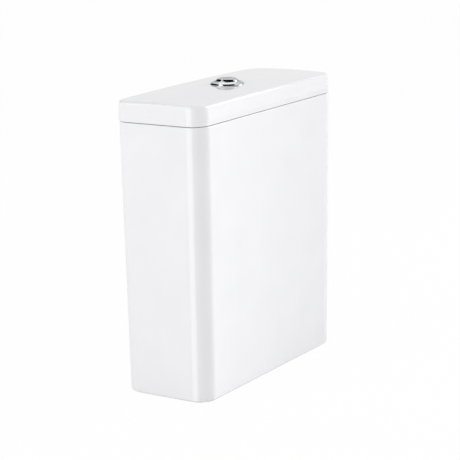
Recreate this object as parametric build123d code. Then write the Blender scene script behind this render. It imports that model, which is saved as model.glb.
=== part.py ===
from build123d import *
import math
import os

# Close-coupled toilet cistern in vitreous china, with a dual flush valve, a
# bottom-entry fill valve and a two-part push button in the lid.
# Millimetres. Z is up, the front faces -Y, the back (wall) faces +Y, and the
# origin is the middle of the footprint on the plane that the foot stands on.

os.makedirs("parts", exist_ok=True)

# Shared clearances
overrun = 1.0  # how far a cutting shape passes the face that it cuts
loose_gap = 0.5  # radial gap between pieces that slide past each other
stop_gap = 0.3  # gap between a moving piece and the face that pushes it
pin_gap = 0.05  # radial gap of a running fit on a pin
hole_gap = 1.2  # radial gap round a tail or bolt in its hole in the china

# Tank casting
tank_width = 365.0
tank_depth = 146.0
tank_height = 387.0
side_taper = 4.8  # how far each side draws in from the rim to the foot
front_taper = 5.3  # how far the front draws in from the rim to the foot
front_corner = 24.0
back_corner = 29.0
tank_wall = 9.5
skirt_wall = 10.0
recess_depth = 44.0  # open space under the tank floor
floor_thickness = 11.0
foot_round = 2.5
rim_round = 1.3
inside_fillet = 8.0  # soft corner between the floor and the walls

# Lid casting
lid_edge_height = 27.0
lid_back_corner = 26.0
lid_draft = 1.1  # how far each side draws in from the lid's foot to its top edge
lid_plate = 9.0
lid_round = 4.2
lid_foot_round = 0.8
crown_across = 1.9  # rise of the top across the width
crown_deep = 2.2  # rise of the top from front to back
lip_gap = 2.5  # between the lid's locating lip and the tank wall
lip_width = 7.0
lip_depth = 9.0
lid_inside_fillet = 5.0
land_depth = 0.35  # flat seat for the bezel, sunk below the crown
land_margin = 0.6
pad_thickness = 0.8
pad_radius = 3.6
pad_side_place = 128.0

# Flush valve tail and seat
tail_radius = 29.9
tail_bore = 24.5
tail_end_height = 6.0
spigot_radius = 28.4  # plain end of the tail, below the thread
spigot_length = 10.0
flange_radius = 44.0
flange_thickness = 4.0
flange_washer_radius = 42.0
flange_washer_thickness = 3.0
seat_height = 8.0
seat_wall = 3.0
cage_fit = 0.15  # radial gap between the cage and its socket
socket_radius = 40.0
socket_wall = 3.0
socket_height = 10.0
backnut_radius = 39.0
backnut_height = 10.0
backnut_lugs = 6
backnut_lug_radius = 4.5
gasket_radius = 45.0
gasket_height = 17.5
gasket_chamfer = 7.0

# Flush valve cage and tower
cage_wall = 2.6
cage_height = 90.0
cage_plate = 4.0
window_count = 6
window_width = 21.0
window_sill = 12.0
window_height = 46.0
tower_foot = 3.0
post_inner = 23.0
post_thickness = 4.5
post_width = 18.0
post_notch = 1.2
post_notch_pitch = 8.0
post_notch_count = 10
tower_foot_radius = 33.0
bridge_thickness = 5.0
bridge_half_length = 32.5
bridge_hole_gap = 2.5
bridge_drop = 9.5  # top of the bridge below the rocker pivots
bridge_round = 3.0

# Rockers: one for each button
rocker_pivot_height = 289.0
rocker_arm = 16.0
rocker_width = 8.0
rocker_end = 3.0
rocker_hub = 4.6
rocker_pin = 2.0
rocker_ear = 3.5
rocker_ear_gap = 0.6
rocker_ear_radius = 4.6
rocker_web = 3.4
pin_overhang = 0.8

# Overflow riser and what it carries
riser_radius = 13.5
riser_wall = 1.8
riser_top_drop = 27.0  # mouth of the riser below the rocker pivots
riser_flange_radius = 21.0
riser_flange_thickness = 4.0
riser_tail = 6.0  # below its flange
seal_radius = 31.0
seal_thickness = 3.0
seal_seat_gap = 0.2
retainer_radius = 26.0
retainer_thickness = 5.0
float_ring_radius = 29.0
float_ring_height = 30.0
float_ring_lift = 18.0  # above the seal's retainer
float_skin = 2.0
half_float_radius = 20.5
half_float_height = 16.0
half_float_place = 178.0
collar_thickness = 6.0
collar_radius = 20.0
collar_drop = 33.5  # top of the riser collar below the rocker pivots
stirrup_bar = 4.0
stirrup_gap = 1.6
stirrup_leg = 6.0
stirrup_overlap = 1.0
stirrup_top = 5.0

# Buttons, bezel and rods
bezel_radius = 24.5
bezel_edge = 0.6
bezel_rim = 2.5
bezel_taper = 1.5
bezel_height = 4.6
bezel_round = 1.2
bezel_lip_width = 1.3
bezel_lip_round = 0.5
sleeve_radius = 18.9
sleeve_wall = 1.9
sleeve_below = 15.0
lid_hole_gap = 1.3
locknut_radius = 26.0
locknut_height = 8.0
locknut_lugs = 8
locknut_lug_radius = 2.6
locknut_washer = 1.5
button_gap = 0.4
button_split = 0.5
split_place = -2.5  # the split between the buttons, forward of the centre
button_travel = 9.0
button_rise = 9.0
button_edge_rise = 5.4
button_crown_radius = 13.2
button_crown_drop = 0.3
button_edge_round = 0.8
button_shoulder_round = 6.0
button_skirt = 8.9
button_roof = 2.4
button_wall = 1.4
rod_radius = 2.2
rod_place = 9.6
rod_foot_radius = 3.4
rod_foot_height = 4.0
rod_boss_radius = 3.3
rod_boss_height = 5.0
rod_stop_radius = 3.6
rod_stop_height = 2.5
guide_thickness = 4.0
spring_radius = 4.2
spring_wire = 0.9

# Coupling bolts
bolt_spacing = 140.0
bolt_radius = 4.0
bolt_end_height = 5.0
bolt_end_radius = 3.7  # lower stretch, which takes the pan's own nut
bolt_head_radius = 8.0
bolt_head_height = 5.5
bolt_slot_width = 1.6
bolt_slot_depth = 2.0
cone_washer_radius = 12.5
cone_washer_top_radius = 10.5
cone_washer_height = 7.0
cone_plug_depth = 3.0
plate_washer_radius = 10.5
plate_washer_thickness = 1.6
bolt_nut_radius = 7.5
bolt_nut_height = 6.0
bolt_nut_overlap = 1.5  # thread that shows below the nut

# Fill valve
inlet_side_gap = 51.5  # from the tank's widest side to the middle of the inlet
inlet_place = inlet_side_gap - tank_width / 2
inlet_tail_radius = 10.4
inlet_bore = 6.0
inlet_tail_end = 7.0
inlet_groove = 0.8  # undercut between the backnut's thread and the supply's thread
inlet_groove_width = 1.5
inlet_flange_radius = 17.0
inlet_flange_thickness = 5.0
inlet_washer_radius = 17.0
inlet_washer_thickness = 3.0
inlet_nut_radius = 17.0
inlet_nut_height = 10.0
shank_radius = 11.5
shank_top = 158.0
column_radius = 8.6
column_bore = 5.4
column_foot = 120.0
column_top = 262.0
lock_radius = 15.0
lock_height = 13.0
lock_overlap = 7.0
lock_ribs = 12
lock_rib_radius = 1.3
head_radius = 16.0
head_height = 15.0
head_ports = 6
head_port_width = 5.0
head_port_depth = 4.0
head_port_height = 5.0
head_port_sill = 3.5
diaphragm_thickness = 1.6
cap_radius = 12.6
cap_height = 8.0
cap_ribs = 16
cap_rib_radius = 0.9
cap_nozzle_radius = 3.0
cap_nozzle_height = 2.0
nozzle_bore = 0.8
nozzle_arm = 8.0  # from the lever's pivot to the nozzle
lever_arm = 22.0  # from the lever's pivot to the float rod
lever_width = 11.6
lever_thickness = 3.0
lever_hub = 3.8
lever_end = 2.5
lever_slot = 4.6
lever_slot_length = 4.5
lever_pin = 1.6
lever_ear = 3.0
lever_ear_gap = 0.6
lever_ear_radius = 3.8
lever_ear_foot = 3.5
link_gap = 0.4
pilot_radius = 3.4
pilot_height = 2.4
float_travel = 8.0
float_radius = 33.0
float_height = 48.0
float_drop = 20.0  # top of the float below the valve head
float_wall = 2.0
float_rod_radius = 1.7
float_rod_collar = 3.2
float_rod_collar_height = 2.5
filter_radius = 5.4
filter_height = 26.0
filter_wall = 1.0
filter_slots = 5
filter_slot_height = 2.2
filter_slot_width = 2.0
filter_columns = 6
filter_rim = 1.4

# Heights that follow
floor_bottom = recess_depth
floor_top = floor_bottom + floor_thickness
lid_bottom = tank_height + pad_thickness
lid_edge_top = lid_bottom + lid_edge_height
lid_crown_top = lid_edge_top + crown_across + crown_deep
land_height = lid_crown_top - land_depth
lid_ceiling = land_height - lid_plate
half_angle = math.degrees(math.asin(button_travel / 2 / rocker_arm))
float_angle = math.degrees(math.asin(float_travel / lever_arm))
spigot_top = tail_end_height + spigot_length
flange_low = floor_top + flange_washer_thickness
flange_top = flange_low + flange_thickness
seat_top = flange_top + seat_height
cage_radius = socket_radius - socket_wall - cage_fit
cage_top = flange_top + cage_height
bridge_top = rocker_pivot_height - bridge_drop
bridge_low = bridge_top - bridge_thickness
rocker_place = rod_place + rocker_arm
tip_place = rocker_place + rocker_arm
riser_mouth = rocker_pivot_height - riser_top_drop
seal_low = seat_top + seal_seat_gap
seal_top = seal_low + seal_thickness
retainer_top = seal_top + retainer_thickness
collar_top = rocker_pivot_height - collar_drop
stirrup_inner = rocker_width / 2 + rocker_ear_gap + rocker_ear + stirrup_gap
stirrup_outer = stirrup_inner + stirrup_bar
sleeve_bore = sleeve_radius - sleeve_wall
sleeve_bottom = lid_ceiling - sleeve_below
guide_top = sleeve_bottom + guide_thickness
button_radius = sleeve_bore - button_gap
button_edge = land_height + button_edge_rise
button_roof_low = button_edge - button_roof
button_foot = button_edge - button_skirt
inlet_flange_low = floor_top + inlet_washer_thickness
inlet_flange_top = inlet_flange_low + inlet_flange_thickness
head_top = column_top + head_height
cap_low = head_top + diaphragm_thickness
cap_top = cap_low + cap_height
nozzle_top = cap_top + cap_nozzle_height
lever_height = nozzle_top + stop_gap + lever_thickness / 2 + pilot_height
lever_place = inlet_place + nozzle_arm
float_rod_place = lever_place + lever_arm
float_top = column_top - float_drop


def disc(radius, bottom, top, x=0, y=0):
    return Pos(x, y, bottom) * Cylinder(radius, top - bottom, align=(Align.CENTER, Align.CENTER, Align.MIN))


def cone(low_radius, high_radius, bottom, top, x=0, y=0):
    shape = Cone(low_radius, high_radius, top - bottom, align=(Align.CENTER, Align.CENTER, Align.MIN))
    return Pos(x, y, bottom) * shape


def ring(outer, inner, bottom, top, x=0, y=0):
    return disc(outer, bottom, top, x, y) - disc(inner, bottom - overrun, top + overrun, x, y)


def block(x_low, x_high, y_low, y_high, bottom, top):
    size = (x_high - x_low, y_high - y_low, top - bottom)
    return Pos((x_low + x_high) / 2, (y_low + y_high) / 2, (bottom + top) / 2) * Box(*size)


def side_pin(radius, x_low, x_high, y, z):
    """A round bar along X."""
    return Pos((x_low + x_high) / 2, y, z) * Rot(0, 90, 0) * Cylinder(radius, x_high - x_low)


def deep_pin(radius, y_low, y_high, x, z):
    """A round bar along Y."""
    return Pos(x, (y_low + y_high) / 2, z) * Rot(90, 0, 0) * Cylinder(radius, y_high - y_low)


def hexagon(across_corners, bottom, top, x=0, y=0):
    return extrude(Pos(x, y, bottom) * RegularPolygon(across_corners, 6), top - bottom)


def spun(points, rounds=(), x=0, y=0):
    """Turns an outline of radius and height about the upright axis at x, y, with some corners rounded."""
    face = make_face(Polyline(*[(radius, 0, height) for radius, height in points], close=True))
    for corner, size in rounds:
        spot = (corner[0], 0, corner[1])
        face = fillet(face.vertices().sort_by_distance(spot)[0], size)
    return Pos(x, y, 0) * revolve(face, Axis.Z, 360)


def around(shape, count, x=0, y=0):
    """Copies of a shape spaced evenly about the upright axis at x, y."""
    there = Pos(x, y, 0)
    return [there * Rot(0, 0, 360 * step / count) * shape for step in range(count)]


def tube(outer, wall, bottom, top, x=0, y=0):
    return ring(outer, outer - wall, bottom, top, x, y)


def save(shape, name):
    shape.label = name
    export_step(shape, f"parts/{name}.step")


def footprint(half_width, front, back, front_radius, back_radius):
    """Plan of the tank or lid: four straight sides with round corners."""
    corners = [(-half_width, front), (half_width, front), (half_width, back), (-half_width, back)]
    face = make_face(Polyline(*corners, close=True))
    face = fillet(face.vertices().group_by(Axis.Y)[0], front_radius)
    return fillet(face.vertices().group_by(Axis.Y)[-1], back_radius)


def tank_reach(height, inset):
    """Half width, front and back of the tank at a height, drawn in by an inset."""
    share_left = 1 - height / tank_height
    half_width = tank_width / 2 - side_taper * share_left - inset
    front = -tank_depth / 2 + front_taper * share_left + inset
    return half_width, front, tank_depth / 2 - inset


def upright_edges(body):
    return [edge for edge in body.edges() if abs(edge.tangent_at(0).Z) > 0.5]


def tank_block(bottom, top, inset):
    """Flat-sided block that tapers towards the foot, with its upright corners rounded."""
    low_half, low_front, back = tank_reach(bottom, inset)
    high_half, high_front, back = tank_reach(top, inset)
    across = [(-low_half, 0, bottom), (low_half, 0, bottom), (high_half, 0, top), (-high_half, 0, top)]
    deep = [(0, low_front, bottom), (0, back, bottom), (0, back, top), (0, high_front, top)]
    body = extrude(make_face(Polyline(*across, close=True)), tank_depth, both=True)
    body &= extrude(make_face(Polyline(*deep, close=True)), tank_width, both=True)
    body = fillet([edge for edge in upright_edges(body) if edge.center().Y < 0], front_corner - inset)
    return fillet([edge for edge in upright_edges(body) if edge.center().Y > 0], back_corner - inset)


def make_tank():
    body = tank_block(0, tank_height, 0)
    body = fillet(body.faces().sort_by(Axis.Z)[0].outer_wire().edges(), foot_round)
    body = fillet(body.faces().sort_by(Axis.Z)[-1].outer_wire().edges(), rim_round)
    hollow = tank_block(floor_top, tank_height + overrun, tank_wall)
    hollow = fillet(hollow.faces().sort_by(Axis.Z)[0].outer_wire().edges(), inside_fillet)
    recess = tank_block(-overrun, floor_bottom, skirt_wall)
    recess = fillet(recess.faces().sort_by(Axis.Z)[-1].outer_wire().edges(), inside_fillet)
    body = body - hollow - recess
    drill = (floor_bottom - overrun, floor_top + overrun)
    body -= disc(tail_radius + hole_gap, *drill)
    body -= disc(inlet_tail_radius + hole_gap, *drill, x=inlet_place)
    for side in (-1, 1):
        body -= disc(bolt_radius + hole_gap, *drill, x=side * bolt_spacing / 2)
    return body


def crown_block():
    """A block whose top rises towards the middle, across and from front to back."""
    reach = tank_width / 2 + overrun
    half_depth = tank_depth / 2
    curve = (half_depth**2 + crown_deep**2) / (2 * crown_deep)
    end = lid_crown_top - crown_across
    low = lid_bottom - overrun
    arc = ThreePointArc((-reach, 0, end), (0, 0, lid_crown_top), (reach, 0, end))
    sides = Polyline((reach, 0, end), (reach, 0, low), (-reach, 0, low), (-reach, 0, end))
    axis = Axis((0, 0, lid_crown_top - curve), (1, 0, 0))
    half_turn = math.degrees(math.asin((half_depth + overrun) / curve))
    return revolve(make_face(arc + sides).rotate(axis, -half_turn), axis, half_turn * 2)


def lid_plan(height, inset, back_radius):
    """Plan of the lid at a height, drawn in by an inset."""
    half_width = tank_width / 2 - inset
    half_depth = tank_depth / 2 - inset
    plan = footprint(half_width, -half_depth, half_depth, front_corner - inset, back_radius - inset)
    return Pos(0, 0, height) * plan


def make_lid():
    top = lid_crown_top + overrun
    share_up = (top - lid_bottom) / lid_edge_height
    foot_plan = lid_plan(lid_bottom, 0, lid_back_corner)
    outside = loft([foot_plan, lid_plan(top, lid_draft * share_up, lid_back_corner)], ruled=True)
    outside = fillet(outside.faces().sort_by(Axis.Z)[0].outer_wire().edges(), lid_foot_round)
    outside = outside & crown_block()
    outside = fillet(outside.faces().sort_by(Axis.Z)[-1].outer_wire().edges(), lid_round)
    lip_inset = tank_wall + lip_gap
    lip_low = lid_bottom - lip_depth
    lip = extrude(lid_plan(lip_low, lip_inset, back_corner), lip_depth + lid_foot_round)
    hollow_low = lip_low - overrun
    hollow = extrude(lid_plan(hollow_low, lip_inset + lip_width, back_corner), lid_ceiling - hollow_low)
    hollow = fillet(hollow.faces().sort_by(Axis.Z)[-1].outer_wire().edges(), lid_inside_fillet)
    body = outside + lip - hollow
    body -= disc(sleeve_radius + lid_hole_gap, lid_bottom, lid_crown_top + overrun)
    return body - disc(bezel_radius + land_margin, land_height, lid_crown_top + overrun)


def make_lid_buffer_pads():
    """Small rubber pads on the rim that carry the lid."""
    side = tank_depth / 2 - tank_wall / 2
    places = [(x * pad_side_place, y * side) for x in (-1, 1) for y in (-1, 1)]
    return Compound([disc(pad_radius, tank_height, lid_bottom, x, y) for x, y in places])


def make_flush_valve_base():
    """Tail, flange, valve seat and the socket that the cage locks into."""
    seat_radius = tail_bore + seat_wall
    socket_bore = socket_radius - socket_wall
    socket_top = flange_top + socket_height
    return spun(
        [
            (tail_bore, tail_end_height),
            (spigot_radius, tail_end_height),
            (spigot_radius, spigot_top),
            (tail_radius, spigot_top),
            (tail_radius, flange_low),
            (flange_radius, flange_low),
            (flange_radius, flange_top),
            (socket_radius, flange_top),
            (socket_radius, socket_top),
            (socket_bore, socket_top),
            (socket_bore, flange_top),
            (seat_radius, flange_top),
            (seat_radius, seat_top),
            (tail_bore, seat_top),
        ]
    )


def make_flush_valve_backnut():
    low = floor_bottom - backnut_height
    nut = disc(backnut_radius, low, floor_bottom)
    for lug in around(disc(backnut_lug_radius, low, floor_bottom, x=backnut_radius), backnut_lugs):
        nut += lug
    return nut - disc(tail_radius + pin_gap, low - overrun, floor_bottom + overrun)


def make_coupling_gasket():
    """Soft ring round the tail that seals the tank to the pan."""
    top = floor_bottom - backnut_height
    low = top - gasket_height
    bore = tail_radius + pin_gap
    return spun(
        [
            (bore, low),
            (gasket_radius - gasket_chamfer, low),
            (gasket_radius, low + gasket_chamfer),
            (gasket_radius, top),
            (bore, top),
        ]
    )


def make_flush_valve_cage():
    """Basket over the seat, with windows that let the water in."""
    body = tube(cage_radius, cage_wall, flange_top, cage_top)
    body += ring(cage_radius, riser_radius + loose_gap, cage_top - cage_plate, cage_top)
    sill = flange_top + window_sill
    window = block(
        cage_radius - cage_wall * 2,
        cage_radius + overrun,
        -window_width / 2,
        window_width / 2,
        sill,
        sill + window_height,
    )
    for opening in around(window, window_count):
        body -= opening
    return body


def make_tower_frame():
    """Foot ring with two notched posts that carry the rocker bridge."""
    foot_top = cage_top + tower_foot
    outer = post_inner + post_thickness
    body = ring(tower_foot_radius, riser_radius + bridge_hole_gap, cage_top, foot_top)
    for side in (-1, 1):
        inside, outside = sorted((side * post_inner, side * outer))
        body += block(inside, outside, -post_width / 2, post_width / 2, cage_top, bridge_low)
        for step in range(post_notch_count):
            low = foot_top + post_notch_pitch * (step + 1)
            face = sorted((side * (outer - post_notch), side * (outer + overrun)))
            reach = post_width / 2 + overrun
            body -= block(*face, -reach, reach, low, low + post_notch_pitch / 2)
    return body


def make_rocker_bridge():
    """Plate on the posts, with two pairs of ears for the rocker pins."""
    half_width = post_inner + post_thickness
    body = block(-half_width, half_width, -bridge_half_length, bridge_half_length, bridge_low, bridge_top)
    body = fillet(body.edges().filter_by(Axis.Z), bridge_round)
    body -= disc(riser_radius + bridge_hole_gap, bridge_low - overrun, bridge_top + overrun)
    inner = rocker_width / 2 + rocker_ear_gap
    outer = inner + rocker_ear
    for side in (-1, 1):
        place = side * rocker_place
        low, high = place - rocker_ear_radius, place + rocker_ear_radius
        for hand in (-1, 1):
            face = sorted((hand * inner, hand * outer))
            body += block(*face, low, high, bridge_top, rocker_pivot_height)
            body += side_pin(rocker_ear_radius, *face, place, rocker_pivot_height)
        reach = outer + overrun
        body -= side_pin(rocker_pin + pin_gap, -reach, reach, place, rocker_pivot_height)
    return body


def make_rocker_pins():
    reach = rocker_width / 2 + rocker_ear_gap + rocker_ear + pin_overhang
    sides = (-1, 1)
    places = [side * rocker_place for side in sides]
    return Compound([side_pin(rocker_pin, -reach, reach, place, rocker_pivot_height) for place in places])


def make_rocker(side):
    """Lever on a pin along X that turns a push at one end into a lift at the other."""
    half = rocker_width / 2
    lever = side_pin(rocker_hub, -half, half, 0, 0)
    lever += block(-half, half, -rocker_arm, rocker_arm, -rocker_web / 2, rocker_web / 2)
    for end in (-1, 1):
        lever += side_pin(rocker_end, -half, half, end * rocker_arm, 0)
    lever -= side_pin(rocker_pin + pin_gap, -half - overrun, half + overrun, 0, 0)
    return Pos(0, side * rocker_place, rocker_pivot_height) * Rot(-side * half_angle, 0, 0) * lever


def make_yoke(side, bore, top):
    """Collar on the riser with a stirrup that reaches over the tip of a rocker."""
    low = top - collar_thickness
    bar_low = rocker_pivot_height - button_travel / 2 + rocker_end + stop_gap
    bar_top = bar_low + stirrup_top
    near = tip_place - stirrup_leg / 2
    far = tip_place + stirrup_leg / 2
    body = disc(collar_radius, low, top)
    for hand in (-1, 1):
        face = sorted((hand * stirrup_inner, hand * stirrup_outer))
        body += block(*face, *sorted((side * riser_radius, side * far)), low, top)
        body += block(*face, *sorted((side * near, side * far)), low, bar_top)
    ends = sorted((side * (near - stirrup_overlap), side * (far + stirrup_overlap)))
    body += block(-stirrup_outer, stirrup_outer, *ends, bar_low, bar_top)
    return body - disc(bore, low - overrun, top + overrun)


def make_overflow_tube():
    """Riser that carries the seal; its open mouth is the overflow."""
    body = disc(riser_radius, seal_low - riser_flange_thickness - riser_tail, riser_mouth)
    body += disc(riser_flange_radius, seal_low - riser_flange_thickness, seal_low)
    bore = riser_radius - riser_wall
    return body - disc(bore, tail_end_height, riser_mouth + overrun)


def make_valve_seal():
    return ring(seal_radius, riser_radius + pin_gap, seal_low, seal_top)


def make_seal_retainer():
    return ring(retainer_radius, riser_radius + pin_gap, seal_top, retainer_top)


def make_air_bell(radius, low, height, bore, skin):
    """Float that is closed on top and open below."""
    body = ring(radius, bore, low, low + height)
    return body - ring(radius - skin, bore + skin, low - overrun, low + height - skin)


def make_button_bezel():
    """Chromed ring on the lid with a threaded sleeve down through it."""
    rim_top = land_height + bezel_rim
    lip = land_height + bezel_height
    lip_edge = sleeve_bore + bezel_lip_width
    rim_radius = bezel_radius - bezel_taper
    return spun(
        [
            (sleeve_bore, sleeve_bottom),
            (sleeve_radius, sleeve_bottom),
            (sleeve_radius, land_height),
            (bezel_radius, land_height),
            (bezel_radius, land_height + bezel_edge),
            (rim_radius, rim_top),
            (lip_edge, lip),
            (sleeve_bore, lip),
        ],
        [
            ((rim_radius, rim_top), bezel_round),
            ((lip_edge, lip), bezel_lip_round),
            ((sleeve_bore, lip), bezel_lip_round),
        ],
    )


def make_locknut():
    top = lid_ceiling - locknut_washer
    low = top - locknut_height
    nut = disc(locknut_radius - locknut_lug_radius, low, top)
    lug = disc(locknut_lug_radius, low, top, x=locknut_radius - locknut_lug_radius)
    for part in around(lug, locknut_lugs):
        nut += part
    return nut - disc(sleeve_radius + pin_gap, low - overrun, top + overrun)


def make_locknut_washer():
    return ring(locknut_radius, sleeve_radius + loose_gap, lid_ceiling - locknut_washer, lid_ceiling)


def make_button_guide():
    """Plate in the sleeve that guides the rods and carries the springs."""
    body = disc(sleeve_bore - pin_gap, sleeve_bottom, guide_top)
    for side in (-1, 1):
        body -= disc(rod_radius + loose_gap, sleeve_bottom - overrun, guide_top + overrun, y=side * rod_place)
    return body


def make_button(side):
    """One part of the round button: side is 1 for the back part and -1 for the front part."""
    top = land_height + button_rise
    shoulder = top - button_crown_drop
    whole = spun(
        [
            (0, button_foot),
            (button_radius, button_foot),
            (button_radius, button_edge),
            (button_crown_radius, shoulder),
            (0, top),
        ],
        [
            ((button_radius, button_edge), button_edge_round),
            ((button_crown_radius, shoulder), button_shoulder_round),
        ],
    )
    reach = button_radius + overrun
    near = split_place + side * button_split / 2
    half = block(-reach, reach, *sorted((near, side * reach)), button_foot - overrun, top + overrun)
    inner_near = near + side * button_wall
    room = block(-reach, reach, *sorted((inner_near, side * reach)), button_foot - overrun, button_roof_low)
    room = room & disc(button_radius - button_wall, button_foot - overrun, button_roof_low)
    body = whole & half - room
    boss_low = button_roof_low - rod_boss_height
    body += disc(rod_boss_radius, boss_low, button_roof_low, y=side * rod_place)
    return body - disc(rod_radius + pin_gap, boss_low - overrun, button_roof_low, y=side * rod_place)


def make_push_rod(side):
    """Rod from the button to its rocker, with a foot and a stop under the guide."""
    low = rocker_pivot_height + button_travel / 2 + rocker_end + stop_gap
    place = side * rod_place
    stop_top = sleeve_bottom - stop_gap
    body = disc(rod_radius, low, button_roof_low, y=place)
    body += disc(rod_foot_radius, low, low + rod_foot_height, y=place)
    return body + disc(rod_stop_radius, stop_top - rod_stop_height, stop_top, y=place)


def make_button_spring(side):
    """Space that the return spring fills round its rod."""
    return ring(
        spring_radius + spring_wire / 2,
        spring_radius - spring_wire / 2,
        guide_top,
        button_roof_low,
        y=side * rod_place,
    )


def bolt_places():
    return [side * bolt_spacing / 2 for side in (-1, 1)]


def make_coupling_bolts():
    head_low = floor_top + cone_washer_height + plate_washer_thickness
    head_top_height = head_low + bolt_head_height
    step = floor_bottom - plate_washer_thickness - bolt_nut_height - bolt_nut_overlap
    bolts = []
    for x in bolt_places():
        bolt = disc(bolt_end_radius, bolt_end_height, step, x) + disc(bolt_radius, step, head_low, x)
        bolt += disc(bolt_head_radius, head_low, head_top_height, x)
        bolt -= block(
            x - bolt_head_radius - overrun,
            x + bolt_head_radius + overrun,
            -bolt_slot_width / 2,
            bolt_slot_width / 2,
            head_top_height - bolt_slot_depth,
            head_top_height + overrun,
        )
        bolts.append(bolt)
    return Compound(bolts)


def make_bolt_cone_washers():
    top = floor_top + cone_washer_height
    low = floor_top - cone_plug_depth
    washers = []
    for x in bolt_places():
        washer = cone(cone_washer_radius, cone_washer_top_radius, floor_top, top, x)
        washer += disc(bolt_radius + hole_gap - pin_gap, low, floor_top, x)
        washers.append(washer - disc(bolt_radius + pin_gap, low - overrun, top + overrun, x))
    return Compound(washers)


def make_bolt_plate_washers():
    lows = (floor_top + cone_washer_height, floor_bottom - plate_washer_thickness)
    bore = bolt_radius + pin_gap
    washers = [
        ring(plate_washer_radius, bore, low, low + plate_washer_thickness, x)
        for x in bolt_places()
        for low in lows
    ]
    return Compound(washers)


def make_bolt_nuts():
    top = floor_bottom - plate_washer_thickness
    low = top - bolt_nut_height
    bore = bolt_radius + pin_gap
    nuts = []
    for x in bolt_places():
        nuts.append(hexagon(bolt_nut_radius, low, top, x) - disc(bore, low - overrun, top + overrun, x))
    return Compound(nuts)


def make_fill_valve_shank():
    """Threaded inlet tail, flange and the lower half of the standpipe."""
    x = inlet_place
    body = disc(inlet_tail_radius, inlet_tail_end, inlet_flange_low, x)
    body += disc(inlet_flange_radius, inlet_flange_low, inlet_flange_top, x)
    body += disc(shank_radius, inlet_flange_top, shank_top, x)
    body -= disc(inlet_bore, inlet_tail_end - overrun, shank_top + overrun, x)
    groove_top = floor_bottom - inlet_nut_height
    groove_bore = inlet_tail_radius - inlet_groove
    body -= ring(inlet_tail_radius + overrun, groove_bore, groove_top - inlet_groove_width, groove_top, x)
    return body - disc(column_radius + pin_gap, column_foot, shank_top + overrun, x)


def make_fill_valve_washer():
    low, top = floor_top, inlet_flange_low
    return ring(inlet_washer_radius, inlet_tail_radius + loose_gap, low, top, x=inlet_place)


def make_fill_valve_backnut():
    low = floor_bottom - inlet_nut_height
    nut = hexagon(inlet_nut_radius, low, floor_bottom, x=inlet_place)
    return nut - disc(inlet_tail_radius + pin_gap, low - overrun, floor_bottom + overrun, x=inlet_place)


def make_fill_valve_column():
    return ring(column_radius, column_bore, column_foot, column_top, x=inlet_place)


def make_height_lock_collar():
    """Ribbed ring that clamps the column at its height in the shank."""
    x = inlet_place
    low = shank_top - lock_overlap
    top = low + lock_height
    body = disc(lock_radius, low, top)
    for rib in around(disc(lock_rib_radius, low, top, x=lock_radius), lock_ribs):
        body += rib
    body -= disc(shank_radius + pin_gap, low - overrun, shank_top)
    body -= disc(column_radius + pin_gap, low, top + overrun)
    return Pos(x, 0, 0) * body


def make_fill_valve_head():
    """Round valve body with outlet ports round it."""
    body = disc(head_radius, column_top, head_top)
    low = column_top + head_port_sill
    half = head_port_width / 2
    port = block(head_radius - head_port_depth, head_radius + overrun, -half, half, low, low + head_port_height)
    for opening in around(port, head_ports):
        body -= opening
    body -= disc(column_bore, column_top - overrun, head_top + overrun)
    return Pos(inlet_place, 0, 0) * body


def make_fill_valve_diaphragm():
    return disc(cap_radius - loose_gap, head_top, cap_low, x=inlet_place)


def make_fill_valve_cap():
    """Screwed cap with the pilot nozzle and the ears of the lever."""
    body = disc(cap_radius, cap_low, cap_top)
    for rib in around(disc(cap_rib_radius, cap_low, cap_top, x=cap_radius), cap_ribs):
        body += rib
    body += disc(cap_nozzle_radius, cap_top, nozzle_top)
    inner = lever_width / 2 + lever_ear_gap
    outer = inner + lever_ear
    low, high = nozzle_arm - lever_ear_radius, nozzle_arm + lever_ear_radius
    body += block(low, high, -outer, outer, cap_top - lever_ear_foot, cap_top)
    for hand in (-1, 1):
        face = sorted((hand * inner, hand * outer))
        body += block(low, high, *face, cap_top, lever_height)
        body += deep_pin(lever_ear_radius, *face, nozzle_arm, lever_height)
    body -= deep_pin(lever_pin + pin_gap, -outer - overrun, outer + overrun, nozzle_arm, lever_height)
    body -= disc(nozzle_bore, cap_low - overrun, nozzle_top + overrun)
    return Pos(inlet_place, 0, 0) * body


def lever_at_rest(shape):
    """Puts a shape drawn about the lever's pivot where it lies with the float down."""
    return Pos(lever_place, 0, lever_height) * Rot(0, float_angle, 0) * shape


def make_float_lever():
    half = lever_width / 2
    flat = lever_thickness / 2
    body = block(-nozzle_arm - pilot_radius, lever_arm, -half, half, -flat, flat)
    body += deep_pin(lever_hub, -half, half, 0, 0)
    body += deep_pin(lever_end, -half, half, lever_arm, 0)
    slot = lever_slot / 2
    reach = lever_arm + lever_end + overrun
    body -= block(lever_arm - lever_slot_length, reach, -slot, slot, -lever_end - overrun, lever_end + overrun)
    body -= deep_pin(lever_pin + pin_gap, -half - overrun, half + overrun, 0, 0)
    return lever_at_rest(body)


def make_pilot_seal():
    flat = lever_thickness / 2
    return lever_at_rest(disc(pilot_radius, -flat - pilot_height, -flat, x=-nozzle_arm))


def make_lever_pin():
    reach = lever_width / 2 + lever_ear_gap + lever_ear + pin_overhang
    return deep_pin(lever_pin, -reach, reach, lever_place, lever_height)


def make_float_cup():
    bore = column_radius + loose_gap
    bell = make_air_bell(float_radius, float_top - float_height, float_height, bore, float_wall)
    return Pos(inlet_place, 0, 0) * bell


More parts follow.
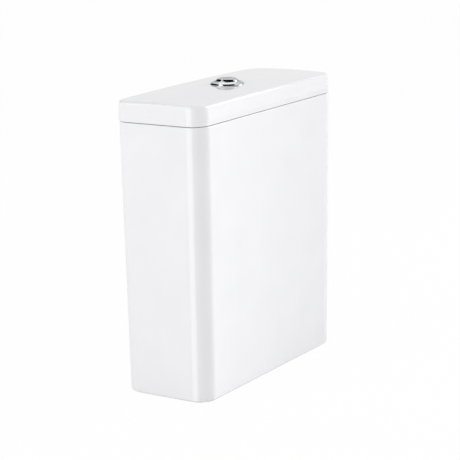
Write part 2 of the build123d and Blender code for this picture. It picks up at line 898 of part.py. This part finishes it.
def make_float_rod():
    """Link from the float to the fork of the lever, with a collar each side of the fork."""
    fork = lever_height - float_travel
    x = float_rod_place
    low_collar = fork - lever_end - link_gap
    high_collar = fork + lever_end + link_gap
    rod_top = high_collar + float_rod_collar_height
    body = disc(float_rod_radius, float_top, rod_top, x)
    body += disc(float_rod_collar, low_collar - float_rod_collar_height, low_collar, x)
    return body + disc(float_rod_collar, high_collar, rod_top, x)


def make_inlet_filter():
    """Slotted strainer in the inlet tail."""
    low = inlet_tail_end
    body = disc(filter_radius, low, low + filter_height)
    body += disc(inlet_bore - pin_gap, low, low + filter_rim)
    body -= disc(filter_radius - filter_wall, low - overrun, low + filter_height - filter_wall)
    pitch = (filter_height - filter_rim * 2) / filter_slots
    for step in range(filter_slots):
        slot_low = low + filter_rim * 2 + pitch * step
        half = filter_slot_width / 2
        cut = block(0, filter_radius + overrun, -half, half, slot_low, slot_low + filter_slot_height)
        for opening in around(cut, filter_columns):
            body -= opening
    return Pos(inlet_place, 0, 0) * body


save(make_tank(), "tank")
save(make_lid(), "lid")
save(make_lid_buffer_pads(), "lid_buffer_pads")
save(make_flush_valve_base(), "flush_valve_base")
save(ring(flange_washer_radius, tail_radius + loose_gap, floor_top, flange_low), "valve_flange_washer")
save(make_flush_valve_backnut(), "flush_valve_backnut")
save(make_coupling_gasket(), "coupling_gasket")
save(make_flush_valve_cage(), "flush_valve_cage")
save(make_tower_frame(), "tower_frame")
save(make_rocker_bridge(), "rocker_bridge")
save(make_rocker_pins(), "rocker_pins")
save(make_rocker(1), "full_flush_rocker")
save(make_rocker(-1), "half_flush_rocker")
grip = riser_radius + pin_gap
save(make_yoke(1, riser_radius + loose_gap, collar_top - collar_thickness - stop_gap), "full_flush_yoke")
save(make_yoke(-1, grip, collar_top), "half_flush_yoke")
save(make_overflow_tube(), "overflow_tube")
save(make_valve_seal(), "valve_seal")
save(make_seal_retainer(), "seal_retainer")
ring_low = retainer_top + float_ring_lift
save(make_air_bell(float_ring_radius, ring_low, float_ring_height, grip, float_skin), "riser_float")
half_float = make_air_bell(half_float_radius, half_float_place, half_float_height, grip, float_skin)
save(half_float, "half_flush_float")
save(make_button_bezel(), "button_bezel")
save(make_locknut(), "button_locknut")
save(make_locknut_washer(), "button_washer")
save(make_button_guide(), "button_guide")
for side, flush in ((1, "full"), (-1, "half")):
    save(make_button(side), f"{flush}_flush_button")
    save(make_push_rod(side), f"{flush}_push_rod")
    save(make_button_spring(side), f"{flush}_button_spring")
save(make_coupling_bolts(), "coupling_bolts")
save(make_bolt_cone_washers(), "bolt_cone_washers")
save(make_bolt_plate_washers(), "bolt_plate_washers")
save(make_bolt_nuts(), "bolt_nuts")
save(make_fill_valve_shank(), "fill_valve_shank")
save(make_fill_valve_washer(), "fill_valve_washer")
save(make_fill_valve_backnut(), "fill_valve_backnut")
save(make_fill_valve_column(), "fill_valve_column")
save(make_height_lock_collar(), "height_lock_collar")
save(make_fill_valve_head(), "fill_valve_head")
save(make_fill_valve_diaphragm(), "fill_valve_diaphragm")
save(make_fill_valve_cap(), "fill_valve_cap")
save(make_float_lever(), "float_lever")
save(make_lever_pin(), "lever_pin")
save(make_pilot_seal(), "pilot_seal")
save(make_float_cup(), "float_cup")
save(make_float_rod(), "float_rod")
save(make_inlet_filter(), "inlet_filter")
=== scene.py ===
import math

import bmesh
import bpy
from mathutils import Matrix, Vector


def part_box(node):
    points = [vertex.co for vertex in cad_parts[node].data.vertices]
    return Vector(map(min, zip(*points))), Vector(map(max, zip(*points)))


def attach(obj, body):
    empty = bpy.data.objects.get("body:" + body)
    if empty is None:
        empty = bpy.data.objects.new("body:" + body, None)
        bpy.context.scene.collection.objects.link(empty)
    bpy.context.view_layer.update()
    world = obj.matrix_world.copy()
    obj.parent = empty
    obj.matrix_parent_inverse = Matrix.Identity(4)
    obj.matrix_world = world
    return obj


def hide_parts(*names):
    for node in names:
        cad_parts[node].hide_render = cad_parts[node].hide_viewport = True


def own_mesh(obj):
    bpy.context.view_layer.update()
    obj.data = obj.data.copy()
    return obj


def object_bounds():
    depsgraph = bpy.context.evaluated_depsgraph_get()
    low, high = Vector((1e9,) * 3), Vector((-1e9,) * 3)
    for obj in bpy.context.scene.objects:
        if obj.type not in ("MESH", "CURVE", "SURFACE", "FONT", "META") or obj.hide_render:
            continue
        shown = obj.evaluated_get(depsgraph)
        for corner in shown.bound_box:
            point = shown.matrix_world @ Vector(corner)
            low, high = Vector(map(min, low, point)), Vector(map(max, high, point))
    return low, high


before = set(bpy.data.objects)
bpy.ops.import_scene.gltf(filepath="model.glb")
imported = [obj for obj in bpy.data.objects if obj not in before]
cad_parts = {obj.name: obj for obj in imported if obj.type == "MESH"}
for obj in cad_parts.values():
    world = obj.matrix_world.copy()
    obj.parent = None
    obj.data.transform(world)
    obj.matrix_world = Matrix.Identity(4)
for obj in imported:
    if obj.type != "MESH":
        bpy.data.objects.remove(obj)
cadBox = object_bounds()
print("frame loaded:", len(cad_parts), "CAD nodes")


def hexToLinear(hexText):
    # sRGB hex to a linear colour with full alpha
    channels = []
    for start in (1, 3, 5):
        level = int(hexText[start:start + 2], 16) / 255
        channels.append(level / 12.92 if level <= 0.04045 else ((level + 0.055) / 1.055) ** 2.4)
    return (*channels, 1.0)


def addNode(tree, kind, settings=None, links=None):
    # a setting that names a socket goes on the socket, any other goes on the node
    node = tree.nodes.new(kind)
    for name, value in (settings or {}).items():
        if isinstance(name, int) or name in node.inputs:
            node.inputs[name].default_value = value
        else:
            setattr(node, name, value)
    for name, (source, output) in (links or {}).items():
        tree.links.new(source.outputs[output], node.inputs[name])
    return node


def newMaterial(name):
    material = bpy.data.materials.new(name)
    material.use_nodes = True
    material.node_tree.nodes.clear()
    return material, material.node_tree


mmInMetre = 1000
noiseMiddle = (0.3, 0.7)  # most of a noise lies between these levels


def perMetre(sizeMm):
    # noise scale that gives features of about this size
    return mmInMetre / sizeMm


def inMetres(sizeMm):
    return sizeMm / mmInMetre


def addNoise(tree, place, sizeMm, settings):
    return addNode(tree, "ShaderNodeTexNoise", {"Scale": perMetre(sizeMm), **settings},
                   {"Vector": (place, "Object")})


def mixTones(tree, first, second, noise):
    # the mix node's sockets share their names, so here they go by number:
    # 6 and 7 take the colours, 0 takes the factor, 2 gives the result
    return addNode(tree, "ShaderNodeMix",
                   {"data_type": "RGBA", 6: hexToLinear(first), 7: hexToLinear(second)},
                   {0: (noise, "Fac")})


def spreadRoughness(tree, noise, span, smoothest, roughest):
    return addNode(tree, "ShaderNodeMapRange",
                   {"From Min": span[0], "From Max": span[1], "To Min": smoothest, "To Max": roughest},
                   {"Value": (noise, "Fac")})


def addOutput(tree, shader):
    addNode(tree, "ShaderNodeOutputMaterial", links={"Surface": (shader, 0)})


def meshObject(name, vertices, faces, material, smooth=True):
    mesh = bpy.data.meshes.new(name)
    mesh.from_pydata(vertices, [], faces)
    mesh.polygons.foreach_set("use_smooth", [smooth] * len(mesh.polygons))
    mesh.update()
    piece = bpy.data.objects.new(name, mesh)
    bpy.context.scene.collection.objects.link(piece)
    mesh.materials.append(material)
    return piece


# vitreous china, slip cast, sprayed with an opaque white glaze and fired:
# a clear glassy skin that pulls a little smooth and wavy, bare clay where it stands on the kiln shelf
china = {
    "glaze": "#F0F0F2",
    "glazeThin": "#EAEAED",  # where the glaze lies thinner, a touch greyer
    "biscuit": "#D8CFBF",
    "biscuitHeight": 0.0009,  # bare clay up to here above the foot
    "biscuitUneven": 0.0006,  # how far the glaze's edge wanders up and down
    "biscuitEdge": 0.0002,  # over this height the glaze gives way to the clay
    "glazeIor": 1.52,
    "glazeRoughness": 0.055,
    "biscuitRoughness": 0.75,
    "waveMm": 55.0,  # slow waves that the casting leaves
    "waveDepthMm": 0.03,
    "peelMm": 5.0,  # orange peel of the sprayed glaze
    "peelDepthMm": 0.004,
    "clayGrainMm": 0.6,
    "clayDepthMm": 0.2,
}


def makeChina(name, footHeight):
    material, tree = newMaterial(name)
    place = addNode(tree, "ShaderNodeTexCoord")
    waves = addNoise(tree, place, china["waveMm"], {"Detail": 2.0})
    peel = addNoise(tree, place, china["peelMm"], {"Detail": 1.0})
    grain = addNoise(tree, place, china["clayGrainMm"], {"Detail": 4.0})
    height = addNode(tree, "ShaderNodeSeparateXYZ", links={"Vector": (place, "Object")})
    # 1 on the bare foot, 0 on the glaze, with a slightly uneven edge
    uneven = china["biscuitUneven"]
    edge = addNode(tree, "ShaderNodeMath", {"operation": "MULTIPLY_ADD", 1: uneven, 2: -uneven / 2},
                   {0: (waves, "Fac")})
    raised = addNode(tree, "ShaderNodeMath", {"operation": "ADD"}, {0: (height, "Z"), 1: (edge, "Value")})
    bare = addNode(tree, "ShaderNodeMapRange",
                   {"From Min": footHeight + china["biscuitEdge"], "From Max": footHeight},
                   {"Value": (raised, "Value")})
    glaze = mixTones(tree, china["glaze"], china["glazeThin"], waves)
    colour = addNode(tree, "ShaderNodeMix", {"data_type": "RGBA", 7: hexToLinear(china["biscuit"])},
                     {0: (bare, "Result"), 6: (glaze, 2)})
    roughness = addNode(tree, "ShaderNodeMapRange",
                        {"To Min": china["glazeRoughness"], "To Max": china["biscuitRoughness"]},
                        {"Value": (bare, "Result")})
    slow = addNode(tree, "ShaderNodeBump", {"Distance": inMetres(china["waveDepthMm"])},
                   {"Height": (waves, "Fac")})
    fine = addNode(tree, "ShaderNodeBump", {"Distance": inMetres(china["peelDepthMm"])},
                   {"Height": (peel, "Fac"), "Normal": (slow, "Normal")})
    rough = addNode(tree, "ShaderNodeBump", {"Distance": inMetres(china["clayDepthMm"])},
                    {"Height": (grain, "Fac"), "Strength": (bare, "Result"), "Normal": (fine, "Normal")})
    shader = addNode(tree, "ShaderNodeBsdfPrincipled", {"IOR": china["glazeIor"]},
                     {"Base Color": (colour, 2), "Roughness": (roughness, "Result"),
                      "Normal": (rough, "Normal")})
    addOutput(tree, shader)
    return material


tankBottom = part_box("tank")[0].z
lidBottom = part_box("lid")[0].z
tankChina = makeChina("vitreous china glaze", tankBottom + china["biscuitHeight"])
lidChina = makeChina("vitreous china lid glaze", lidBottom + china["biscuitHeight"])
print("china glaze made")

# ABS moulding under nickel and bright chrome plate: a mirror with faint moulded waviness and wiping haze
chrome = {
    "plate": "#D6D8DB",
    "grazing": "#D8D9DB",  # share that is left near grazing view, where chromium dips
    "roughness": 0.045,
    "hazeRoughness": 0.09,
    "hazeSpan": (0.35, 0.75),  # levels of the noise between which the haze grows
    "hazeMm": 9.0,
    "waveMm": 14.0,
    "waveDepthMm": 0.004,
}


def makeChrome():
    material, tree = newMaterial("chrome-plated ABS")
    place = addNode(tree, "ShaderNodeTexCoord")
    haze = addNoise(tree, place, chrome["hazeMm"], {"Detail": 5.0})
    waves = addNoise(tree, place, chrome["waveMm"], {"Detail": 1.0})
    roughness = spreadRoughness(tree, haze, chrome["hazeSpan"], chrome["roughness"], chrome["hazeRoughness"])
    bump = addNode(tree, "ShaderNodeBump", {"Distance": inMetres(chrome["waveDepthMm"])},
                   {"Height": (waves, "Fac")})
    shader = addNode(tree, "ShaderNodeBsdfPrincipled",
                     {"Base Color": hexToLinear(chrome["plate"]), "Metallic": 1.0,
                      "Specular Tint": hexToLinear(chrome["grazing"])},
                     {"Roughness": (roughness, "Result"), "Normal": (bump, "Normal")})
    addOutput(tree, shader)
    return material


# injection-moulded plastics have a fine spark-eroded skin and slow flow marks;
# moulded rubber is matt with a little bloom; each is a colour pair, a roughness and a grain
mouldings = {
    "moulded white acetal": {"light": "#EDEDE8", "dark": "#DEDED8", "roughness": 0.34, "grainMm": 0.5,
                             "depthMm": 0.012, "flowMm": 18.0},
    "moulded grey polypropylene": {"light": "#8E9296", "dark": "#7E8286", "roughness": 0.42, "grainMm": 0.5,
                                   "depthMm": 0.016, "flowMm": 16.0},
    "moulded blue polypropylene": {"light": "#2E5F9E", "dark": "#264F86", "roughness": 0.38, "grainMm": 0.5,
                                   "depthMm": 0.014, "flowMm": 12.0},
    "black EPDM rubber": {"light": "#2A2A2B", "dark": "#1D1D1E", "roughness": 0.72, "grainMm": 0.4,
                          "depthMm": 0.03, "flowMm": 7.0},
    "red silicone rubber": {"light": "#A33A2A", "dark": "#8C3023", "roughness": 0.5, "grainMm": 0.4,
                            "depthMm": 0.01, "flowMm": 9.0},
}
mouldedSkin = {"ior": 1.48, "smoother": 0.05, "rougher": 0.06, "flowBend": 0.6, "grainStrength": 0.8}


def makeMoulding(name, look):
    material, tree = newMaterial(name)
    place = addNode(tree, "ShaderNodeTexCoord")
    flow = addNoise(tree, place, look["flowMm"], {"Detail": 3.0, "Distortion": mouldedSkin["flowBend"]})
    grain = addNoise(tree, place, look["grainMm"], {"Detail": 2.0})
    colour = mixTones(tree, look["light"], look["dark"], flow)
    roughness = spreadRoughness(tree, flow, noiseMiddle, look["roughness"] - mouldedSkin["smoother"],
                                look["roughness"] + mouldedSkin["rougher"])
    bump = addNode(tree, "ShaderNodeBump",
                   {"Distance": inMetres(look["depthMm"]), "Strength": mouldedSkin["grainStrength"]},
                   {"Height": (grain, "Fac")})
    shader = addNode(tree, "ShaderNodeBsdfPrincipled", {"IOR": mouldedSkin["ior"]},
                     {"Base Color": (colour, 2), "Roughness": (roughness, "Result"),
                      "Normal": (bump, "Normal")})
    addOutput(tree, shader)
    return material


# drawn stainless steel shows fine lines along the wire or bar, turned brass shows tool rings round its axis
metals = {
    "drawn stainless steel": {"light": "#B9BABB", "dark": "#A2A4A6", "roughness": 0.28, "lineMm": 0.35,
                              "stretch": (1.0, 1.0, 0.05), "depthMm": 0.006},
    "turned brass": {"light": "#C9A35A", "dark": "#AE8742", "roughness": 0.3, "lineMm": 0.3,
                     "stretch": (0.05, 0.05, 1.0), "depthMm": 0.01},
}
bareMetal = {"stainMm": 8.0, "smoother": 0.06, "rougher": 0.1}


def makeMetal(name, look):
    material, tree = newMaterial(name)
    place = addNode(tree, "ShaderNodeTexCoord")
    stretched = addNode(tree, "ShaderNodeMapping", {"Scale": look["stretch"]},
                        {"Vector": (place, "Object")})
    lines = addNode(tree, "ShaderNodeTexNoise", {"Scale": perMetre(look["lineMm"]), "Detail": 3.0},
                    {"Vector": (stretched, "Vector")})
    stain = addNoise(tree, place, bareMetal["stainMm"], {"Detail": 4.0})
    colour = mixTones(tree, look["light"], look["dark"], stain)
    roughness = spreadRoughness(tree, lines, noiseMiddle, look["roughness"] - bareMetal["smoother"],
                                look["roughness"] + bareMetal["rougher"])
    bump = addNode(tree, "ShaderNodeBump", {"Distance": inMetres(look["depthMm"])},
                   {"Height": (lines, "Fac")})
    shader = addNode(tree, "ShaderNodeBsdfPrincipled", {"Metallic": 1.0},
                     {"Base Color": (colour, 2), "Roughness": (roughness, "Result"),
                      "Normal": (bump, "Normal")})
    addOutput(tree, shader)
    return material


finishes = {"chrome": makeChrome()}
for name, look in mouldings.items():
    finishes[name] = makeMoulding(name, look)
for name, look in metals.items():
    finishes[name] = makeMetal(name, look)
finishes["tank china"] = tankChina
finishes["lid china"] = lidChina
print("materials made:", len(finishes))

# which finish each CAD node wears
nodeFinishes = {
    "tank china": ["tank"],
    "lid china": ["lid"],
    "chrome": ["button_bezel", "full_flush_button", "half_flush_button"],
    "moulded white acetal": [
        "flush_valve_base", "flush_valve_cage", "rocker_bridge", "overflow_tube", "seal_retainer",
        "riser_float", "button_locknut", "button_guide", "full_push_rod", "half_push_rod",
        "fill_valve_shank", "fill_valve_column", "fill_valve_head", "float_lever", "float_cup",
        "float_rod", "inlet_filter"],
    "moulded grey polypropylene": ["flush_valve_backnut", "tower_frame", "full_flush_yoke", "half_flush_yoke",
                                   "height_lock_collar", "fill_valve_cap"],
    "moulded blue polypropylene": ["full_flush_rocker", "half_flush_rocker", "half_flush_float"],
    "black EPDM rubber": ["lid_buffer_pads", "valve_flange_washer", "coupling_gasket", "button_washer",
                          "bolt_cone_washers", "fill_valve_washer", "fill_valve_diaphragm"],
    "red silicone rubber": ["valve_seal", "pilot_seal"],
    "drawn stainless steel": ["rocker_pins", "lever_pin", "coupling_bolts", "bolt_plate_washers",
                              "full_button_spring", "half_button_spring"],
    "turned brass": ["bolt_nuts", "fill_valve_backnut"],
}
dressed = set()
for finish, names in nodeFinishes.items():
    for name in names:
        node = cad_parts[name]
        node.data.materials.clear()
        node.data.materials.append(finishes[finish])
        dressed.add(name)
print("nodes without a finish:", sorted(set(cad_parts) - dressed))

# wound stainless wire with closed ends, in the space that each CAD sleeve keeps for it
spring = {"wire": 0.0009, "turns": 6.5, "closedTurns": 1.0, "stepsPerTurn": 28, "wireSides": 10,
          "travel": 0.009}  # how far a pressed button squashes it


def makeSpring(name, node):
    low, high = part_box(node)
    centre = (low + high) / 2
    coilRadius = (high.x - low.x) / 2 - spring["wire"] / 2
    bottom = low.z + spring["wire"] / 2
    top = high.z - spring["wire"] / 2
    steps = int(spring["turns"] * spring["stepsPerTurn"])
    closed = spring["closedTurns"] / spring["turns"]
    closedRise = spring["wire"] * spring["closedTurns"]
    vertices, faces = [], []
    sides = spring["wireSides"]
    for step in range(steps + 1):
        share = step / steps
        turn = 2 * math.pi * spring["turns"] * share
        if share < closed:
            rise = closedRise * share / closed
        elif share > 1 - closed:
            rise = (top - bottom) - closedRise * (1 - share) / closed
        else:
            rise = closedRise + (top - bottom - 2 * closedRise) * (share - closed) / (1 - 2 * closed)
        outward = Vector((math.cos(turn), math.sin(turn), 0))
        middle = Vector((centre.x, centre.y, bottom + rise)) + outward * coilRadius
        for side in range(sides):
            angle = 2 * math.pi * side / sides
            offset = outward * math.cos(angle) + Vector((0, 0, 1)) * math.sin(angle)
            vertices.append(middle + offset * spring["wire"] / 2)
        if step:
            first = (step - 1) * sides
            for side in range(sides):
                after = (side + 1) % sides
                faces.append((first + side, first + after, first + sides + after, first + sides + side))
    faces.append(tuple(range(sides))[::-1])
    faces.append(tuple(range(steps * sides, (steps + 1) * sides)))
    piece = meshObject(name, vertices, faces, finishes["drawn stainless steel"])
    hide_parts(node)
    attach(piece, "lid")
    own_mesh(piece)


makeSpring("full_flush_coil_spring", "full_button_spring")
makeSpring("half_flush_coil_spring", "half_button_spring")
print("springs wound")

# rolled or moulded threads stand as one ridge that winds round the plain CAD cylinder
threads = [
    {"name": "inlet_tail_thread", "x": -0.131, "radius": 0.0104, "low": 0.0078, "high": 0.031,
     "pitch": 0.0018, "depth": 0.0006, "finish": "moulded white acetal", "slot": "white_plastic"},
    {"name": "left_bolt_thread", "x": -0.070, "radius": 0.0037, "low": 0.0056, "high": 0.0355,
     "pitch": 0.00125, "depth": 0.0004, "finish": "drawn stainless steel", "slot": "steel"},
    {"name": "right_bolt_thread", "x": 0.070, "radius": 0.0037, "low": 0.0056, "high": 0.0355,
     "pitch": 0.00125, "depth": 0.0004, "finish": "drawn stainless steel", "slot": "steel"},
]
ridge = {
    "sides": 40,  # steps in one turn
    "sink": 0.00005,  # its root stands this far inside the cylinder
    "foot": 0.45,  # half of its width at the root, as a share of the pitch
    "crest": 0.08,  # and at the crest
    "corners": 4,  # in each section
}


def makeThread(thread):
    turns = (thread["high"] - thread["low"] - thread["pitch"]) / thread["pitch"]
    sides, foot, tread, corners = ridge["sides"], ridge["foot"], ridge["crest"], ridge["corners"]
    steps = int(turns * sides)
    root = thread["radius"] - ridge["sink"]
    crest = thread["radius"] + thread["depth"]
    vertices, faces = [], []
    for step in range(steps + 1):
        turn = 2 * math.pi * step / sides
        middle = thread["low"] + thread["pitch"] / 2 + thread["pitch"] * step / sides
        # the ridge runs out flat at both ends
        grow = min(1.0, step / (sides / 2), (steps - step) / (sides / 2))
        tip = root + (crest - root) * grow
        for radius, lift in ((root, -foot), (tip, -tread), (tip, tread), (root, foot)):
            vertices.append((thread["x"] + radius * math.cos(turn), radius * math.sin(turn),
                             middle + lift * thread["pitch"]))
        if step:
            first = (step - 1) * corners
            for corner in range(first, first + corners - 1):
                faces.append((corner, corner + corners, corner + corners + 1, corner + 1))
    piece = meshObject(thread["name"], vertices, faces, finishes[thread["finish"]], smooth=False)
    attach(piece, "tank")


for thread in threads:
    makeThread(thread)
print("threads cut")

stage = {
    "floor": "#F4F4F4",
    "floorWorn": "#F2F2F2",
    "mottlePerMetre": 3.0,
    "floorRadius": 7.0,
    "floorSides": 96,
    "floorDrop": 0.0001,  # so that the foot doesn't share a plane with it
    "whiteShare": 0.96,  # share of plain white in what the camera sees of it
}


def levelByRay(tree, toCamera, toMirrors, toRest):
    # one level for the camera, which meets a white background, one for mirrors and one for all other light
    path = addNode(tree, "ShaderNodeLightPath")
    mirrored = addNode(tree, "ShaderNodeMapRange", {"To Min": toRest, "To Max": toMirrors},
                       {"Value": (path, "Is Glossy Ray")})
    direct = addNode(tree, "ShaderNodeMath", {"operation": "MAXIMUM"},
                     {0: (path, "Is Camera Ray"), 1: (path, "Is Transmission Ray")})
    return addNode(tree, "ShaderNodeMapRange", {"To Max": toCamera},
                   {"Value": (direct, "Value"), "To Min": (mirrored, "Result")})


def makeFloor():
    material, tree = newMaterial("matt white studio floor")
    place = addNode(tree, "ShaderNodeTexCoord")
    mottle = addNode(tree, "ShaderNodeTexNoise", {"Scale": stage["mottlePerMetre"], "Detail": 2.0},
                     {"Vector": (place, "Object")})
    tone = mixTones(tree, stage["floor"], stage["floorWorn"], mottle)
    paper = addNode(tree, "ShaderNodeBsdfDiffuse", links={"Color": (tone, 2)})
    white = addNode(tree, "ShaderNodeEmission", {"Color": (1, 1, 1, 1), "Strength": 1.0})
    share = levelByRay(tree, stage["whiteShare"], stage["whiteShare"], 0.0)
    mixed = addNode(tree, "ShaderNodeMixShader",
                    links={0: (share, "Result"), 1: (paper, "BSDF"), 2: (white, "Emission")})
    addOutput(tree, mixed)
    return material


bm = bmesh.new()
bmesh.ops.create_circle(bm, cap_ends=True, segments=stage["floorSides"], radius=stage["floorRadius"])
floorMesh = bpy.data.meshes.new("studio_floor")
bm.to_mesh(floorMesh)
bm.free()
floorMesh.materials.append(makeFloor())
floor = bpy.data.objects.new("studio_floor", floorMesh)
floor.location = (0, 0, cadBox[0][2] - stage["floorDrop"])
bpy.context.scene.collection.objects.link(floor)
floor.visible_glossy = False  # the glaze mirrors the studio round it down to its foot

# world fill, a soft panel on the left that the glaze mirrors as a bright band, and a box high up on the left
# and in front; lamp strengths in watts
lights = {
    "worldLevel": 0.76,
    "mirroredLevel": 0.90,
    "aimHeight": 0.22,  # the boxes face this height on the object's axis
    "leftPanel": {"azimuth": 178.0, "height": 0.0, "distance": 2.2, "size": (1.4, 2.4), "power": 15.6},
    "sideBox": {"azimuth": 150.0, "height": 1.0, "distance": 2.0, "size": (1.0, 1.0), "power": 4.0},
    "frontBox": {"azimuth": -44.0, "height": 1.2, "distance": 2.2, "size": (1.1, 1.1), "power": 18.5},
}
# the panel on the right glows most along its near edge, as a strip box with its lamp at one side does
rightPanel = {"azimuth": -14.0, "distance": 2.6, "from": -1.45, "to": -0.61, "height": 1.5,
              "glow": 3.4, "farGlow": 0.0}
world = bpy.data.worlds.new("studio")
bpy.context.scene.world = world
world.use_nodes = True
worldTree = world.node_tree
worldTree.nodes.clear()
skyLevel = levelByRay(worldTree, 1.0, lights["mirroredLevel"], lights["worldLevel"])
sky = addNode(worldTree, "ShaderNodeBackground", {"Color": (1, 1, 1, 1)}, {"Strength": (skyLevel, "Result")})
addNode(worldTree, "ShaderNodeOutputWorld", links={"Surface": (sky, "Background")})


def softBox(name, setup):
    lamp = bpy.data.lights.new(name, "AREA")
    lamp.shape = "RECTANGLE"
    lamp.size, lamp.size_y = setup["size"]
    lamp.energy = setup["power"]
    piece = bpy.data.objects.new(name, lamp)
    bpy.context.scene.collection.objects.link(piece)
    turn = math.radians(setup["azimuth"])
    place = Vector((math.cos(turn) * setup["distance"], math.sin(turn) * setup["distance"], setup["height"]))
    piece.location = place
    aim = Vector((0, 0, min(lights["aimHeight"], setup["height"])))
    piece.rotation_euler = (aim - place).to_track_quat("-Z", "Y").to_euler()


for name in ("leftPanel", "sideBox", "frontBox"):
    softBox(name, lights[name])


def onlyLights(piece):
    # it lights the object and shows in mirrors, but the camera doesn't see it and it casts no shadow
    piece.visible_camera = False
    piece.visible_shadow = False
    piece.visible_transmission = False


def makeStripPanel(setup):
    material, tree = newMaterial("strip box diffuser")
    place = addNode(tree, "ShaderNodeTexCoord")
    split = addNode(tree, "ShaderNodeSeparateXYZ", links={"Vector": (place, "Object")})
    fade = addNode(tree, "ShaderNodeMapRange",
                   {"From Min": setup["from"], "From Max": setup["to"], "To Min": setup["glow"],
                    "To Max": setup["farGlow"]}, {"Value": (split, "Y")})
    glow = addNode(tree, "ShaderNodeEmission", {"Color": (1, 1, 1, 1)}, {"Strength": (fade, "Result")})
    addOutput(tree, glow)
    near, far, reach = setup["from"], setup["to"], setup["height"]
    corners = [(0, near, -reach), (0, far, -reach), (0, far, reach), (0, near, reach)]
    panel = meshObject("right_strip_panel", corners, [(0, 1, 2, 3)], material, smooth=False)
    turn = math.radians(setup["azimuth"])
    panel.location = (math.cos(turn) * setup["distance"], math.sin(turn) * setup["distance"], 0)
    panel.rotation_euler = (0, 0, turn)
    onlyLights(panel)


makeStripPanel(rightPanel)

# black flags that only mirrors see: one wraps round behind the camera, one stands on the left,
# one hangs overhead
flags = {
    "cameraFlag": {"radius": 3.2, "from": -170.0, "to": -60.0, "low": -2.0, "high": 4.4},
    "leftFlag": {"radius": 3.2, "from": 55.0, "to": 150.0, "low": 1.2, "high": 5.2},
    "overheadFlag": {"azimuth": -147.0, "height": 1.9, "from": -0.75, "to": 1.25, "left": -0.56,
                     "right": 1.0},
    "felt": ("#0C0C0C", "#161616"),
    "feltMm": 4.0,
}

cards = {
    "backCard": {"radius": 3.0, "from": 5.0, "to": 62.0, "low": 3.2, "high": 5.6, "glow": 1.35},
    "leftCard": {"radius": 0.85, "from": 115.0, "to": 160.0, "low": 1.55, "high": 2.3, "glow": 1.6},
    "rightCard": {"radius": 3.2, "from": -24.0, "to": 28.0, "low": -2.0, "high": 0.5, "glow": 0.78},
}


def makeFelt(name, tones):
    material, tree = newMaterial(name)
    grain = addNode(tree, "ShaderNodeTexNoise", {"Scale": perMetre(flags["feltMm"])})
    tone = mixTones(tree, *tones, grain)
    shader = addNode(tree, "ShaderNodeBsdfDiffuse", links={"Color": (tone, 2)})
    addOutput(tree, shader)
    return material


def makeGlow(name, strength):
    material, tree = newMaterial(name)
    glow = addNode(tree, "ShaderNodeEmission", {"Color": (1, 1, 1, 1), "Strength": strength})
    addOutput(tree, glow)
    return material


def onlyMirrored(piece):
    piece.visible_diffuse = False
    onlyLights(piece)


def makeWrap(name, wrap, material):
    strips = 24  # flat strips that make up the bend
    corners, quads = [], []
    for strip in range(strips + 1):
        turn = math.radians(wrap["from"] + (wrap["to"] - wrap["from"]) * strip / strips)
        for height in (wrap["low"], wrap["high"]):
            corners.append((wrap["radius"] * math.cos(turn), wrap["radius"] * math.sin(turn), height))
        if strip:
            quads.append((2 * strip - 2, 2 * strip, 2 * strip + 1, 2 * strip - 1))
    onlyMirrored(meshObject(name, corners, quads, material))


felt = makeFelt("black studio felt", flags["felt"])
makeWrap("camera_flag", flags["cameraFlag"], felt)
makeWrap("left_flag", flags["leftFlag"], felt)

overhead = flags["overheadFlag"]
turn = math.radians(overhead["azimuth"])
outward = Vector((math.cos(turn), math.sin(turn), 0))
sideways = Vector((-math.sin(turn), math.cos(turn), 0))
corners = [outward * overhead[reach] + sideways * overhead[side] + Vector((0, 0, overhead["height"]))
           for reach, side in (("from", "left"), ("to", "left"), ("to", "right"), ("from", "right"))]
onlyMirrored(meshObject("overhead_flag", corners, [(0, 1, 2, 3)], felt, smooth=False))

# cards that only mirrors see: a bright one high up behind for the bezel's cone, a small bright one
# on the left for the highlight in the dark bands, and a grey one low on the right for the far corner
# of the china
for name in ("backCard", "leftCard", "rightCard"):
    makeWrap(name, cards[name], makeGlow(name + " diffuser", cards[name]["glow"]))
print("floor, lights and flags set")

# fitted to the edges of the tank and lid in the photograph
photoView = {
    "yaw": 57.16, "pitch": 12.99, "roll": -1.38,  # degrees
    "place": (-2.10034, -1.35472, 0.78063),
    "lens": 137.72, "sensor": 36.0,  # millimetres
    "farthest": 50,
}
yaw, pitch, roll = (math.radians(photoView[key]) for key in ("yaw", "pitch", "roll"))
back = Vector((-math.sin(yaw) * math.cos(pitch), -math.cos(yaw) * math.cos(pitch), math.sin(pitch)))
level = Vector((math.cos(yaw), -math.sin(yaw), 0))
upward = back.cross(level)
across = level * math.cos(roll) + upward * math.sin(roll)
upright = upward * math.cos(roll) - level * math.sin(roll)
camera = bpy.data.objects.new("photo_camera", bpy.data.cameras.new("photo_camera"))
camera.data.lens = photoView["lens"]
camera.data.sensor_width = photoView["sensor"]
camera.data.clip_end = photoView["farthest"]
turnMatrix = Matrix((across, upright, back)).transposed().to_4x4()
camera.matrix_world = Matrix.Translation(photoView["place"]) @ turnMatrix
bpy.context.scene.collection.objects.link(camera)
bpy.context.scene.camera = camera
bpy.context.scene.view_settings.view_transform = "Standard"
print("camera set")
